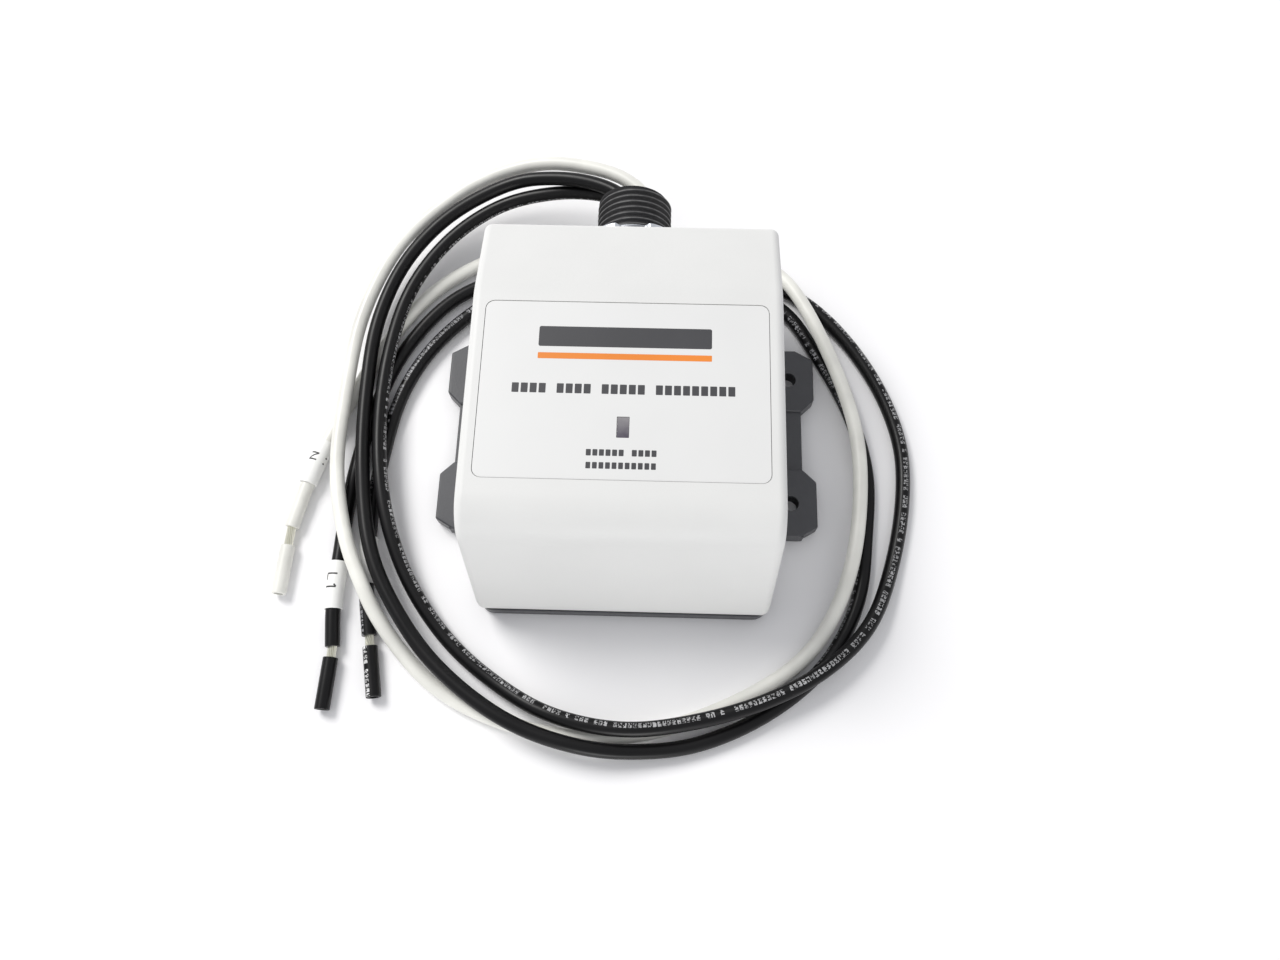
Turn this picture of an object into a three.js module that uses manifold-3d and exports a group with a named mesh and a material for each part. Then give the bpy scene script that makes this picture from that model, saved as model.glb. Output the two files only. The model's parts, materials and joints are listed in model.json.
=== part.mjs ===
// Whole house surge protector: a moulded cover on a base plate with four fixing ears, a threaded
// conduit nipple with its locknut, the suppression circuit inside, and three free wire leads.
// Millimetres. Origin at the centre of the base plate's back face, +Z out of the front of the
// cover, +Y towards the nipple, +X to the right.

import * as THREE from 'three';
import { mergeVertices } from 'three/addons/utils/BufferGeometryUtils.js';
import Module from 'manifold-3d';

// ---------------------------------------------------------------- driving dimensions

const GAP = 0.3; // clearance between neighbouring pieces
const SEAT = 0.05; // clearance between faces that rest on each other
const PLAY = 0.1; // clearance round a piece pressed into an opening
const PAST = 1; // how far a cutting solid runs past the face that it cuts

const COVER = { width: 77, length: 94.8, top: 48.7, wall: 2.4, corner: 4, foot: 4.6 };
// The side profile's corners. A round is how far from the corner it starts, and a draw is how far
// the corner moves for each millimetre that the profile is drawn in.
const PROFILE = {
  bend: { z: 9, round: 1 }, // the leaning lower wall meets the upright foot
  brow: { y: -37.9, round: 9.3, draw: 0.85 }, // the leaning lower wall meets the top
  crest: { y: 24, round: 3, draw: 0.2 }, // the top starts to slope down towards the nipple
  brink: { z: 42.2, round: 1.6, draw: 0.8 }, // the slope meets the upright wall round the nipple
};

const INNER_ROUND = 0.6; // the wall's inner rounds against its outer ones

const BASE = { thick: 4.2, corner: 4, earX: 52.2, stripX: 48.5, earThick: 5, inlet: 4 };
const EARS = [
  { inner: 11.7, outer: 30.7 }, // upper pair, towards the nipple
  { inner: -5.9, outer: -25.3 }, // lower pair
];
const EAR_CUT = { side: 5, end: 2.9, slope: 3.6 }; // the chamfers at an ear's corners
const EAR_HOLE = { x: 45, rows: [21.4, -15.8], radius: 2.2 };
const COVER_GASKET = { inset: 0.5, band: 1.5, thick: 0.3 };

const LABEL = { width: 69.7, height: 46.5, y: -2.6, corner: 2.3, recess: 0.8, thick: 0.65 };
const WINDOW = { width: 2.9, height: 5.3, y: -12.5, depth: 8 };

const NIPPLE = {
  z: 20, radius: 10.5, root: 9.7, bore: 7.9, start: 37.4, end: 68.2, pitch: 1.814, rise: 0.4, sides: 24,
  chamfer: 1, hole: 10,
};
const COLLAR = { radius: 13, start: 40.7, end: 43.7 }; // the nipple's shoulder inside the cover
const NIPPLE_GASKET = { inner: 10.7, outer: 12.5, end: 44.9 };
const WASHER = { start: 47.6, thick: 2.2, radius: 13.5 };
const NUT = { start: 50, thick: 3.8, body: 13.1, lug: 14.6, lugs: 6, lugSpan: 23, flank: 3 };

const BOARD = { bottom: 10, thick: 1.6, left: -33, right: 33, low: -34.8, high: 34.4 };
const POST = { radius: 3.2, pilot: 3, x: 28.5, lowY: -30.1, highY: 29.4 };
const BOSS = { radius: 3.5, x: 33, y: 41.6, top: 26 }; // where the back screws bite in the cover
const SCREW = {
  head: 2.9, headHeight: 1.9, shank: 1.35, bite: 1.65, sink: 2.4, boardLength: 7, coverLength: 9,
};

const VARISTOR = { radius: 9.2, thick: 5, centre: 10.7, x: 17.5, rows: [-28.1, -19.1, -10.1] };
const VARISTOR_LEG = { side: 0.9, height: 6, x: 3.75 };
const CUTOFF = { radius: 2, length: 11, x: 17.5, y: -1.6 };
const FUSE = { radius: 3.1, length: 18, cap: 3.5, capLength: 5, capX: 8.5, x: 19, y: 9.4 };
const CAPACITOR = { width: 13, depth: 6.5, height: 11, y: 7.4 };
const RESISTOR = { radius: 1.2, length: 6.5, y: -21.6 };
const DIODE = { radius: 1.4, length: 5.2, y: -28.6 };
const LED = { radius: 2.45, shoulder: 4.9, height: 7.4 };
const TERMINAL = { y: 25.4, height: 4, side: 6, x: { l1: -12, l2: 0, n: 12 } };

const LEAD = { radius: 1.975, sides: 8, steps: 68, innerSteps: 14 };
const LANES = { l1: [1, 17.6], n: [5.2, 20], l2: [1, 22.4] }; // x and z of the leads in the bore
const INNER_LEAD = {
  start: 60.4, middle: 49.4, leaveBore: 37.6, // y along the bore
  fan: { y: 31.9, share: 0.45, rise: 0.6 }, // part of the way across to the terminal
  drop: { y: 27, share: 0.25, rise: 0.2 }, // above the terminal, part of the way down
  landing: 1.5, // how far past the terminal's centre the lead ends
};
const SLEEVE = { inner: 2.2, outer: 2.5, length: 13.8 };
const STRAND = { radius: 1.15, inSlug: 9 };
const SLUG = { bore: 1.45, length: 13.5 };

// How each lead ends: where its marker sleeve ends (measured back from the jacket's end), the
// bare length showing, and the way the strands and the slug point.
const LEAD_ENDS = {
  n: { sleeveBack: 12.9, bare: 5, heading: [-0.05, -1] },
  l1: { sleeveBack: 9.7, bare: 2.6, heading: [-0.04, -1] },
  l2: { sleeveBack: 13.5, bare: 2.6, heading: [0.19, -1] },
};

// Each free lead leaves the nipple's mouth, drops to the surface that the back face rests on and
// makes one open turn and a third round the cover. The last number of each point is its height.
const R = 2.2; // resting on the surface
const OVER = 6.5; // over one lead that lies on the surface
const HIGH = 7.2; // over a lead's marker sleeve

const ROUTES = {
  n: [
    [5.2, 61.4, 20], [4.6, 67.4, 20.1], [2, 73, 20.2], [-3.4, 77.8, 20], [-10.9, 81.4, 19.2],
    [-28.1, 84.8, 17], [-46.3, 81.4, 13], [-61.1, 71.3, 10], [-70.6, 60.5, 8.5],
    [-78.8, 39, 6.9], [-80.9, 14.9, OVER], [-80.5, -9.3, OVER], [-75.5, -28.9, HIGH],
    [-70.2, -40.6, HIGH], [-64.1, -51.3, 5.4], [-50.2, -66.4, R], [-36.2, -74, R],
    [-17.8, -78.7, R], [2.5, -78.7, R], [22.8, -72.8, R], [43, -61.8, R], [52.1, -52.7, 3.2],
    [59.7, -36.5, 6], [63.6, -15.4, OVER], [63.4, 4.7, OVER], [57.3, 27.2, OVER],
    [45.9, 51.3, OVER], [38.2, 58.7, 5.2], [25.2, 64, 2.6], [8.1, 67.3, R], [-14, 67.6, R],
    [-37.3, 63.4, R], [-57.9, 51.2, R], [-70.7, 34.4, R], [-79.2, 16.8, R], [-85.6, -0.3, 2.6],
    [-89.1, -11.4, 2.6], [-92.2, -25.3, R],
  ],
  l2: [
    [1, 61.4, 22.4], [-1, 67.2, 22.4], [-5.8, 72, 22], [-13.8, 75.9, 20.8],
    [-24, 78.4, 18.8], [-36.1, 78.6, 16.1], [-55.1, 70.1, 11.5], [-67.6, 55.9, 8.6],
    [-74.1, 37, 7.1], [-75.2, 15.9, OVER], [-73.4, -9.3, OVER], [-68.6, -31.5, HIGH],
    [-62.3, -44.6, 6.9], [-49, -61.7, OVER], [-29, -76, OVER], [-9.7, -82.1, 6],
    [5.1, -82.7, 3.6], [19.8, -80.5, R], [38, -72.3, R], [53.5, -59.2, R], [62.5, -42.6, R],
    [65.6, -23.5, R], [66.6, -5.4, R], [62.1, 13.6, R], [52.5, 33, R], [45.2, 44.4, R],
    [34, 51.2, R], [14.2, 53.5, R], [-14, 53.5, R], [-33.4, 51, R], [-45.2, 44.6, R],
    [-58.1, 31.2, R], [-65.8, 15.8, R], [-69.5, -5.3, R], [-70.5, -21.5, 2.3],
    [-70.2, -29.5, 2.6], [-69.6, -40.7, 2.6], [-67.2, -54.7, R],
  ],
  l1: [
    [1, 61.4, 17.6], [-0.9, 68, 17.5], [-5.8, 72.9, 17.2], [-13.3, 75.1, 16.5],
    [-24, 75.8, 15.2], [-39.7, 73.4, 12.2], [-54.4, 64, 9.2], [-65.2, 47.7, 7.5],
    [-69.9, 27, OVER], [-69.9, 0.8, OVER], [-65.7, -21.4, 6.3], [-58, -39.8, 4],
    [-46.4, -55.2, 2.3], [-33.1, -66, 2.5], [-17.8, -74.2, 5.4], [1, -77.6, OVER],
    [19.8, -75.1, OVER], [38.3, -69.2, OVER], [53.2, -60.9, OVER], [64.8, -49.2, 5.2],
    [72.4, -31.5, 2.3], [76.4, -11.4, R], [76.3, 3.6, R], [70.9, 21.1, R], [59.7, 39.2, R],
    [47.8, 50.2, R], [33.3, 56.4, R], [14.2, 59.5, R], [-14, 59.6, R], [-34.2, 56.2, R],
    [-53.2, 47.2, R], [-66.8, 29.4, R], [-73.2, 10.8, R], [-76.5, -7.3, R],
    [-77.6, -23.5, 2.3], [-77.7, -31.6, 2.6], [-77.8, -46.4, 2.6], [-76.6, -57.9, R],
  ],
};

// ---------------------------------------------------------------- finishes

function finish(color, roughness, metalness = 0) {
  return new THREE.MeshStandardMaterial({ color, roughness, metalness });
}

const FINISH = {
  coverPlastic: finish(0xeeeeea, 0.55),
  basePlastic: finish(0x45474b, 0.6),
  nipplePlastic: finish(0x1c1c1f, 0.5),
  rubber: finish(0x17171a, 0.85),
  zinc: finish(0xc9ccd0, 0.28, 0.95),
  lens: finish(0x6d6a72, 0.15),
  clear: finish(0xd8dde0, 0.12),
  circuitBoard: finish(0x1f6b3a, 0.45),
  varistor: finish(0x2b62ad, 0.5),
  ceramic: finish(0xd9d3c4, 0.6),
  film: finish(0xb98a2e, 0.5),
  led: finish(0x7fd08a, 0.25),
  component: finish(0x2a2a2c, 0.5),
  brass: finish(0xb9a05a, 0.35, 0.9),
  steel: finish(0x9ea2a6, 0.35, 0.9),
  blackWire: finish(0x121214, 0.35),
  whiteWire: finish(0xe8e6dc, 0.4),
  sleeve: finish(0xf4f4f0, 0.5),
  tinned: finish(0xcfcbb2, 0.35, 0.8),
};

// ---------------------------------------------------------------- solids

const wasm = await Module();
wasm.setup();

function toSolid(geometry) {
  const bare = geometry.clone();
  bare.deleteAttribute('normal');
  bare.deleteAttribute('uv');
  const merged = mergeVertices(bare, 1e-4);
  return new wasm.Manifold(new wasm.Mesh({
    numProp: 3,
    vertProperties: Float32Array.from(merged.attributes.position.array),
    triVerts: Uint32Array.from(merged.index.array),
  }));
}

function toGeometry(solid) {
  const mesh = solid.getMesh();
  const geometry = new THREE.BufferGeometry();
  geometry.setAttribute('position', new THREE.BufferAttribute(mesh.vertProperties, 3));
  geometry.setIndex(new THREE.BufferAttribute(mesh.triVerts, 1));
  return geometry;
}

function join(first, ...others) {
  const solid = others.reduce((sum, other) => sum.add(toSolid(other)), toSolid(first));
  return toGeometry(solid);
}

function cut(first, ...others) {
  const solid = others.reduce((rest, other) => rest.subtract(toSolid(other)), toSolid(first));
  return toGeometry(solid);
}

function common(first, second) {
  return toGeometry(toSolid(first).intersect(toSolid(second)));
}

// A polygon whose corners are [x, y, t]: t is how far from the corner its round starts.
function outline(corners) {
  const shape = new THREE.Shape();
  corners.forEach(([x, y, t], i) => {
    const before = corners.at(i - 1);
    const after = corners[(i + 1) % corners.length];
    const corner = new THREE.Vector2(x, y);
    const towards = ([px, py]) => new THREE.Vector2(px, py).sub(corner).setLength(t).add(corner);
    const start = t > 0 ? towards(before) : corner;
    if (i === 0) shape.moveTo(start.x, start.y);
    else shape.lineTo(start.x, start.y);
    if (t > 0) {
      const end = towards(after);
      shape.quadraticCurveTo(x, y, end.x, end.y);
    }
  });
  shape.closePath();
  return shape;
}

function roundedRectangle(width, height, corner) {
  const [x, y] = [width / 2, height / 2];
  return outline([[-x, -y, corner], [x, -y, corner], [x, y, corner], [-x, y, corner]]);
}

// A shape in the X-Y plane made solid from height z0 to z1.
function slab(shape, z0, z1, curveSegments = 4) {
  const geometry = new THREE.ExtrudeGeometry(shape, {
    depth: z1 - z0,
    bevelEnabled: false,
    curveSegments,
  });
  return geometry.translate(0, 0, z0);
}

// A shape drawn with Y across and Z up, made solid over a width along X, centred on x = 0.
function sideSlab(shape, width) {
  const geometry = new THREE.ExtrudeGeometry(shape, {
    depth: width,
    bevelEnabled: false,
    curveSegments: 6,
  });
  geometry.rotateX(Math.PI / 2);
  geometry.rotateZ(Math.PI / 2);
  return geometry.translate(-width / 2, 0, 0);
}

// A block standing on z0, centred on x and y.
function box(width, depth, x, y, z0, z1) {
  return new THREE.BoxGeometry(width, depth, z1 - z0).translate(x, y, (z0 + z1) / 2);
}

// An upright cylinder from height z0 to z1.
function rod(radius, x, y, z0, z1, sides = 16) {
  const geometry = new THREE.CylinderGeometry(radius, radius, z1 - z0, sides);
  return geometry.rotateX(Math.PI / 2).translate(x, y, (z0 + z1) / 2);
}

// A solid of revolution about the nipple's axis, from a closed profile of [radius, y].
function turned(profile, sides) {
  const points = [...profile, profile[0]].map(([r, y]) => new THREE.Vector2(r, y));
  return new THREE.LatheGeometry(points, sides).translate(0, 0, NIPPLE.z);
}

function ring(inner, outer, y0, y1, sides = 32) {
  return turned([[inner, y0], [outer, y0], [outer, y1], [inner, y1]], sides);
}

// ---------------------------------------------------------------- the assembly

const protector = new THREE.Group();
protector.name = 'whole_house_surge_protector';

function addPart(name, geometry, material) {
  const mesh = new THREE.Mesh(geometry, material);
  mesh.name = name;
  protector.add(mesh);
}

function cornerPlaces(x, lowY, highY) {
  return [[-x, lowY], [x, lowY], [x, highY], [-x, highY]];
}

const postPlaces = cornerPlaces(POST.x, POST.lowY, POST.highY);
const bossPlaces = cornerPlaces(BOSS.x, -BOSS.y, BOSS.y);

// ---------------------------------------------------------------- base plate

// Points given for the right side, turned into an outline for either side.
function sideOutline(points, side, reversed) {
  const corners = points.map(([x, y]) => [side * x, y, 0]);
  return outline(reversed ? corners.reverse() : corners);
}

// The thin flange along one side of the cover, as far out as the ears.
function flange(side) {
  const [upper, lower] = EARS;
  const root = COVER.width / 2 - BASE.inlet;
  const taper = BASE.earX - BASE.stripX;
  const points = [
    [root, upper.outer],
    [BASE.earX - EAR_CUT.side, upper.outer],
    [BASE.earX, upper.outer - EAR_CUT.end],
    [BASE.earX, upper.inner + taper],
    [BASE.stripX, upper.inner],
    [BASE.stripX, lower.inner],
    [BASE.earX, lower.inner - taper],
    [BASE.earX, lower.outer + EAR_CUT.end],
    [BASE.earX - EAR_CUT.side, lower.outer],
    [root, lower.outer],
  ];
  return slab(sideOutline(points, side, side > 0), 0, BASE.thick);
}

// The thicker pad of one ear, outside the cover's wall.
function earPad(side, ear) {
  const away = Math.sign(ear.outer - ear.inner);
  const inner = COVER.width / 2 + GAP;
  const points = [
    [inner, ear.outer],
    [BASE.earX - EAR_CUT.side, ear.outer],
    [BASE.earX, ear.outer - away * EAR_CUT.end],
    [BASE.earX, ear.inner + away * EAR_CUT.slope],
    [BASE.stripX, ear.inner],
    [inner, ear.inner],
  ];
  return slab(sideOutline(points, side, side * away > 0), PAST, BASE.earThick);
}

function earHoles() {
  return [-1, 1].flatMap((side) => EAR_HOLE.rows.map((y) => {
    return rod(EAR_HOLE.radius, side * EAR_HOLE.x, y, -PAST, BASE.earThick + PAST);
  }));
}

function basePlate() {
  const plate = slab(roundedRectangle(COVER.width, COVER.length, BASE.corner), 0, BASE.thick);
  const flanges = [-1, 1].map((side) => flange(side));
  const pads = [-1, 1].flatMap((side) => EARS.map((ear) => earPad(side, ear)));
  const posts = postPlaces.map(([x, y]) => rod(POST.radius, x, y, PAST, BOARD.bottom - SEAT, 12));
  const pilots = postPlaces.map(([x, y]) => rod(SCREW.bite, x, y, POST.pilot, BOARD.bottom + PAST, 12));
  const throughs = bossPlaces.map(([x, y]) => rod(SCREW.bite, x, y, -PAST, BASE.thick + PAST, 12));
  const sinks = bossPlaces.map(([x, y]) => rod(SCREW.head + GAP, x, y, -PAST, SCREW.sink, 12));
  return cut(join(plate, ...flanges, ...pads, ...posts),
    ...earHoles(), ...pilots, ...throughs, ...sinks);
}

addPart('base_plate', basePlate(), FINISH.basePlastic);

// ---------------------------------------------------------------- front cover

// The cover's side profile, Y across and Z up, drawn in by an inset all round.
function sideProfile(inset) {
  const { bend, brow, crest, brink } = PROFILE;
  const half = COVER.length / 2 - inset;
  const top = COVER.top - inset;
  const foot = inset > 0 ? 0 : COVER.foot;
  const tighter = inset > 0 ? INNER_ROUND : 1;
  return outline([
    [-half, foot, 0],
    [-half, bend.z, bend.round],
    [brow.y + inset * brow.draw, top, brow.round * tighter],
    [crest.y - inset * crest.draw, top, crest.round * tighter],
    [half, brink.z - inset * brink.draw, brink.round * tighter],
    [half, foot, 0],
  ]);
}

function coverBlock(inset) {
  const width = COVER.width - 2 * inset;
  const plan = roundedRectangle(width, COVER.length - 2 * inset, COVER.corner - inset * INNER_ROUND);
  return common(sideSlab(sideProfile(inset), width), slab(plan, -PAST, COVER.top + PAST));
}

function nippleHole() {
  const radius = NIPPLE.radius + GAP;
  const hole = new THREE.CylinderGeometry(radius, radius, NIPPLE.hole, 32);
  return hole.translate(0, COVER.length / 2, NIPPLE.z);
}

function windowHole(z0, z1) {
  return box(WINDOW.width + 2 * PLAY, WINDOW.height + 2 * PLAY, 0, WINDOW.y, z0, z1);
}

function frontCover() {
  const recess = slab(roundedRectangle(LABEL.width, LABEL.height, LABEL.corner),
    COVER.top - LABEL.recess, COVER.top + PAST).translate(0, LABEL.y, 0);
  const shell = cut(coverBlock(0), coverBlock(COVER.wall));
  const bosses = bossPlaces.map(([x, y]) => {
    return common(rod(BOSS.radius, x, y, COVER.foot, BOSS.top), coverBlock(COVER.wall / 4));
  });
  const bites = bossPlaces.map(([x, y]) => rod(SCREW.bite, x, y, 0, BOSS.top / 2, 12));
  return cut(join(shell, ...bosses), recess, windowHole(COVER.top - WINDOW.depth, COVER.top + PAST),
    nippleHole(), ...bites);
}

addPart('front_cover', frontCover(), FINISH.coverPlastic);

function coverGasket() {
  const wide = COVER.width - 2 * COVER_GASKET.inset;
  const long = COVER.length - 2 * COVER_GASKET.inset;
  const inwards = 2 * COVER_GASKET.band;
  const band = slab(roundedRectangle(wide, long, BASE.corner), 0, COVER_GASKET.thick);
  const opening = slab(roundedRectangle(wide - inwards, long - inwards,
    BASE.corner - COVER_GASKET.band), -PAST, PAST);
  return cut(band, opening).translate(0, 0, BASE.thick + SEAT);
}

addPart('cover_gasket', coverGasket(), FINISH.rubber);

// ---------------------------------------------------------------- label, window and light pipe

function labelPanel() {
  const bottom = COVER.top - LABEL.recess + SEAT;
  const panel = slab(roundedRectangle(LABEL.width - 2 * GAP, LABEL.height - 2 * GAP,
    LABEL.corner - GAP), bottom, bottom + LABEL.thick);
  return cut(panel.translate(0, LABEL.y, 0), windowHole(bottom - PAST, COVER.top + PAST));
}

addPart('label_panel', labelPanel(), FINISH.coverPlastic);

const boardTop = BOARD.bottom + BOARD.thick + SEAT;
const lensBottom = COVER.top - COVER.wall;
const pipeBottom = boardTop + LED.height + GAP;

addPart('window_lens', box(WINDOW.width, WINDOW.height, 0, WINDOW.y, lensBottom,
  COVER.top - GAP), FINISH.lens);
addPart('light_pipe', box(WINDOW.width, WINDOW.height, 0, WINDOW.y, pipeBottom,
  lensBottom - GAP), FINISH.clear);

// ---------------------------------------------------------------- nipple, washer and locknut

// The thread is drawn as rings of the standard pitch, counted back from the mouth's chamfer.
function nippleProfile() {
  const threaded = NIPPLE.end - NIPPLE.chamfer - COLLAR.end;
  const crests = Math.floor(threaded / NIPPLE.pitch);
  const first = NIPPLE.end - NIPPLE.chamfer - (crests - 0.5) * NIPPLE.pitch;
  const profile = [
    [NIPPLE.bore, NIPPLE.start],
    [NIPPLE.radius, NIPPLE.start],
    [NIPPLE.radius, COLLAR.start],
    [COLLAR.radius, COLLAR.start],
    [COLLAR.radius, COLLAR.end],
    [NIPPLE.root, COLLAR.end],
  ];
  for (let i = 0; i < crests; i += 1) {
    const y = first + i * NIPPLE.pitch;
    profile.push([NIPPLE.root, y - NIPPLE.rise * NIPPLE.pitch]);
    profile.push([NIPPLE.radius, y]);
  }
  profile.push([NIPPLE.root, NIPPLE.end], [NIPPLE.bore, NIPPLE.end]);
  return profile;
}

addPart('conduit_nipple', turned(nippleProfile(), NIPPLE.sides), FINISH.nipplePlastic);
addPart('nipple_gasket', ring(NIPPLE_GASKET.inner, NIPPLE_GASKET.outer, COLLAR.end + SEAT,
  NIPPLE_GASKET.end), FINISH.rubber);
addPart('sealing_washer', ring(NIPPLE.radius + GAP, WASHER.radius, WASHER.start,
  WASHER.start + WASHER.thick), FINISH.rubber);

// The nut's outline, in X-Z about the nipple's axis: angles in degrees from +X.
function nutOutline() {
  const step = 360 / NUT.lugs;
  const half = NUT.lugSpan / 2;
  const foot = half + NUT.flank;
  const oneLug = [
    [-half, NUT.lug], [0, NUT.lug], [half, NUT.lug],
    [foot, NUT.body], [step / 2, NUT.body], [step - foot, NUT.body],
  ];
  const points = [];
  for (let i = 0; i < NUT.lugs; i += 1) {
    for (const [degrees, radius] of oneLug) {
      const angle = THREE.MathUtils.degToRad(i * step + degrees);
      points.push(new THREE.Vector2(radius * Math.cos(angle), radius * Math.sin(angle)));
    }
  }
  return new THREE.Shape(points);
}

function locknut() {
  const shape = nutOutline();
  const bore = new THREE.Path();
  bore.absarc(0, 0, NIPPLE.radius + GAP, 0, 2 * Math.PI, true);
  shape.holes.push(bore);
  return slab(shape, 0, NUT.thick, 16).rotateX(-Math.PI / 2).translate(0, NUT.start, NIPPLE.z);
}

addPart('locknut', locknut(), FINISH.zinc);

// ---------------------------------------------------------------- circuit board and its parts

function circuitBoard() {
  const panel = box(BOARD.right - BOARD.left, BOARD.high - BOARD.low,
    0, (BOARD.high + BOARD.low) / 2, BOARD.bottom, BOARD.bottom + BOARD.thick);
  const holes = postPlaces.map(([x, y]) => {
    return rod(SCREW.bite, x, y, BOARD.bottom - PAST, boardTop + PAST, 12);
  });
  return cut(panel, ...holes);
}

addPart('circuit_board', circuitBoard(), FINISH.circuitBoard);

// A disc varistor standing on edge on its two legs.
function varistor(x, y) {
  const disc = new THREE.CylinderGeometry(VARISTOR.radius, VARISTOR.radius, VARISTOR.thick, 20);
  disc.translate(x, y, boardTop + VARISTOR.centre);
  const legs = [-1, 1].map((side) => box(VARISTOR_LEG.side, VARISTOR_LEG.side,
    x + side * VARISTOR_LEG.x, y, boardTop, boardTop + VARISTOR_LEG.height));
  return join(disc, ...legs);
}

VARISTOR.rows.forEach((y, row) => {
  [-1, 1].forEach((side, column) => {
    addPart(`varistor_${row * 2 + column + 1}`, varistor(side * VARISTOR.x, y), FINISH.varistor);
  });
});

// A round body along X whose lowest line is at z0.
function lyingRod(radius, length, x, y, z0 = boardTop) {
  const geometry = new THREE.CylinderGeometry(radius, radius, length, 16);
  return geometry.rotateZ(Math.PI / 2).translate(x, y, z0 + radius);
}

function surgeFuse(x, y) {
  const caps = [-1, 1].map((side) => lyingRod(FUSE.cap, FUSE.capLength, x + side * FUSE.capX, y));
  return join(lyingRod(FUSE.radius, FUSE.length, x, y, boardTop + FUSE.cap - FUSE.radius), ...caps);
}

[-1, 1].forEach((side, i) => {
  addPart(`thermal_cutoff_${i + 1}`,
    lyingRod(CUTOFF.radius, CUTOFF.length, side * CUTOFF.x, CUTOFF.y), FINISH.ceramic);
  addPart(`surge_fuse_${i + 1}`, surgeFuse(side * FUSE.x, FUSE.y), FINISH.ceramic);
});

addPart('film_capacitor', box(CAPACITOR.width, CAPACITOR.depth, 0, CAPACITOR.y, boardTop,
  boardTop + CAPACITOR.height), FINISH.film);
addPart('led_resistor', lyingRod(RESISTOR.radius, RESISTOR.length, 0, RESISTOR.y),
  FINISH.ceramic);
addPart('rectifier_diode', lyingRod(DIODE.radius, DIODE.length, 0, DIODE.y), FINISH.component);

function statusLed() {
  const body = rod(LED.radius, 0, WINDOW.y, boardTop, boardTop + LED.shoulder);
  const dome = new THREE.SphereGeometry(LED.radius, 16, 8);
  return join(body, dome.translate(0, WINDOW.y, boardTop + LED.height - LED.radius));
}

addPart('status_led', statusLed(), FINISH.led);

// ---------------------------------------------------------------- screws

// A screw into the board's post, its head on the board.
function boardScrew(x, y) {
  const seat = boardTop + SEAT;
  return join(rod(SCREW.head, x, y, seat, seat + SCREW.headHeight),
    rod(SCREW.shank, x, y, seat - SCREW.boardLength, seat + SCREW.headHeight / 2, 12));
}

// A screw from the back into the cover's boss, its head sunk in the base plate.
function coverScrew(x, y) {
  const neck = GAP + SCREW.headHeight;
  return join(rod(SCREW.head, x, y, GAP, neck),
    rod(SCREW.shank, x, y, neck - SCREW.headHeight / 2, neck + SCREW.coverLength, 12));
}

postPlaces.forEach(([x, y], i) => {
  addPart(`board_screw_${i + 1}`, boardScrew(x, y), FINISH.steel);
});
bossPlaces.forEach(([x, y], i) => {
  addPart(`cover_screw_${i + 1}`, coverScrew(x, y), FINISH.steel);
});

// ---------------------------------------------------------------- terminals and inner leads

function smoothLine(points) {
  const vectors = points.map((point) => new THREE.Vector3(...point));
  return new THREE.CatmullRomCurve3(vectors, false, 'centripetal');
}

// A wire's jacket along a smooth line through the points.
function jacketTube(points, steps) {
  const corners = Array.from({ length: LEAD.sides }, (_, i) => {
    const angle = ((i + 0.5) / LEAD.sides) * 2 * Math.PI;
    return new THREE.Vector2(LEAD.radius * Math.cos(angle), LEAD.radius * Math.sin(angle));
  });
  return new THREE.ExtrudeGeometry(new THREE.Shape(corners), {
    extrudePath: smoothLine(points),
    steps,
  });
}

// Along the bore, out of its inner end and down onto the terminal.
function innerRoute(name) {
  const { start, middle, leaveBore, fan, drop, landing } = INNER_LEAD;
  const [x, z] = LANES[name];
  const landX = TERMINAL.x[name];
  const landZ = boardTop + TERMINAL.height + LEAD.radius;
  return [
    [x, start, z],
    [x, middle, z],
    [x, leaveBore, z],
    [x + (landX - x) * fan.share, fan.y, z + fan.rise],
    [landX, drop.y, z + drop.rise - (z - landZ) * drop.share],
    [landX, TERMINAL.y - landing, landZ + GAP],
  ];
}

for (const [name, x] of Object.entries(TERMINAL.x)) {
  const block = box(TERMINAL.side, TERMINAL.side, x, TERMINAL.y, boardTop,
    boardTop + TERMINAL.height);
  addPart(`terminal_${name}`, block, FINISH.brass);
  addPart(`inner_lead_${name}`, jacketTube(innerRoute(name), LEAD.innerSteps),
    name === 'n' ? FINISH.whiteWire : FINISH.blackWire);
}

// ---------------------------------------------------------------- free leads

function roundSection(radius, bore) {
  const section = new THREE.Shape().absarc(0, 0, radius, 0, 2 * Math.PI, false);
  if (bore > 0) section.holes.push(new THREE.Path().absarc(0, 0, bore, 0, 2 * Math.PI, true));
  return section;
}

// A straight round piece from a start point along a heading; a bore makes it a tube.
function straight(start, heading, length, radius, bore = 0) {
  const geometry = new THREE.ExtrudeGeometry(roundSection(radius, bore), {
    depth: length,
    bevelEnabled: false,
    curveSegments: 8,
  });
  const turn = new THREE.Quaternion().setFromUnitVectors(new THREE.Vector3(0, 0, 1), heading);
  return geometry.applyQuaternion(turn).translate(...start);
}

// The marker sleeve: a ring swept along its stretch of the lead.
function markerSleeve(points, back) {
  const path = smoothLine(points);
  const total = path.getLength();
  const stretch = [1, 0.75, 0.5, 0.25, 0].map((part) => {
    return path.getPointAt(1 - (back + SLEEVE.length * part) / total);
  });
  return new THREE.ExtrudeGeometry(roundSection(SLEEVE.outer, SLEEVE.inner), {
    extrudePath: new THREE.CatmullRomCurve3(stretch, false, 'centripetal'),
    steps: 4,
    curveSegments: 6,
  });
}

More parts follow.
